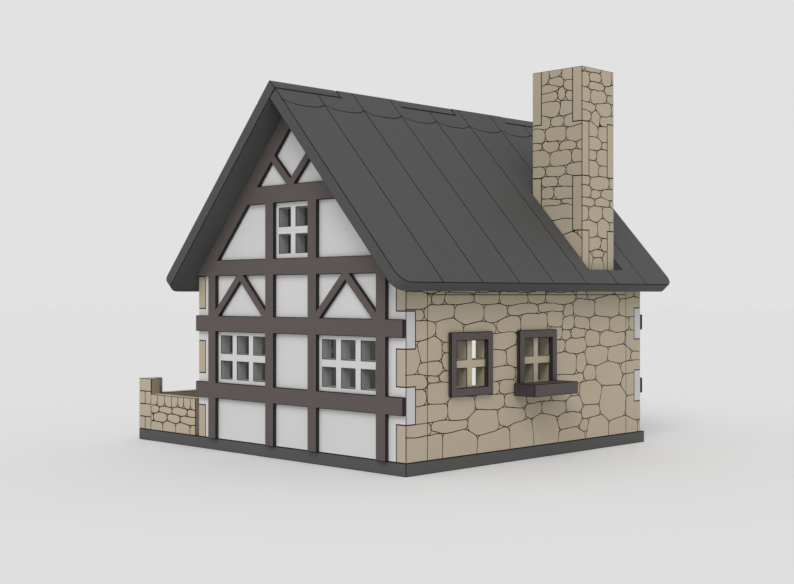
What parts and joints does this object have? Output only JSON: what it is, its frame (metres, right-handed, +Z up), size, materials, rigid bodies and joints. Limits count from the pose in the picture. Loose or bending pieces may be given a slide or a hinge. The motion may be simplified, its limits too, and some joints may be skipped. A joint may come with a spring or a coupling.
{
  "type": "half timbered house model",
  "caption": "Small half timbered house model made of finger jointed sheets, with a planked gable roof, a square stone chimney and a walled garden strip on one base plate.",
  "frame": {"origin": "middle of the base plate's underside", "axes": "-Y is the front gable, +X the side wall with the chimney, -X the garden strip, +Z up"},
  "size_m": [0.1106, 0.1063, 0.0992],
  "materials": {
    "base_sheet": "dark grey matt sheet",
    "roof_sheet": "dark grey matt sheet with engraved shingle planks",
    "white_wall": "off-white matt sheet",
    "stone_wall": "light beige matt sheet with engraved rubble stones",
    "timber": "dark brown matt thin sheet",
    "window_trim": "dark brown matt thin sheet"
  },
  "bodies": {
    "root": {"base_plate": "base_sheet", "front_gable_wall": "white_wall", "back_gable_wall": "white_wall", "right_side_wall": "stone_wall", "left_side_wall": "stone_wall", "front_timber_frame": "timber", "back_timber_frame": "timber", "right_roof_panel": "roof_sheet", "left_roof_panel": "roof_sheet", "chimney_front": "stone_wall", "chimney_back": "stone_wall", "chimney_right": "stone_wall", "chimney_left": "stone_wall", "right_window_frame_front": "window_trim", "right_window_frame_middle": "window_trim", "right_window_ledge": "window_trim", "left_window_frame_front": "window_trim", "left_window_frame_middle": "window_trim", "garden_front_wall": "stone_wall", "garden_side_wall": "stone_wall", "garden_back_wall": "stone_wall"}
  },
  "joints": []
}
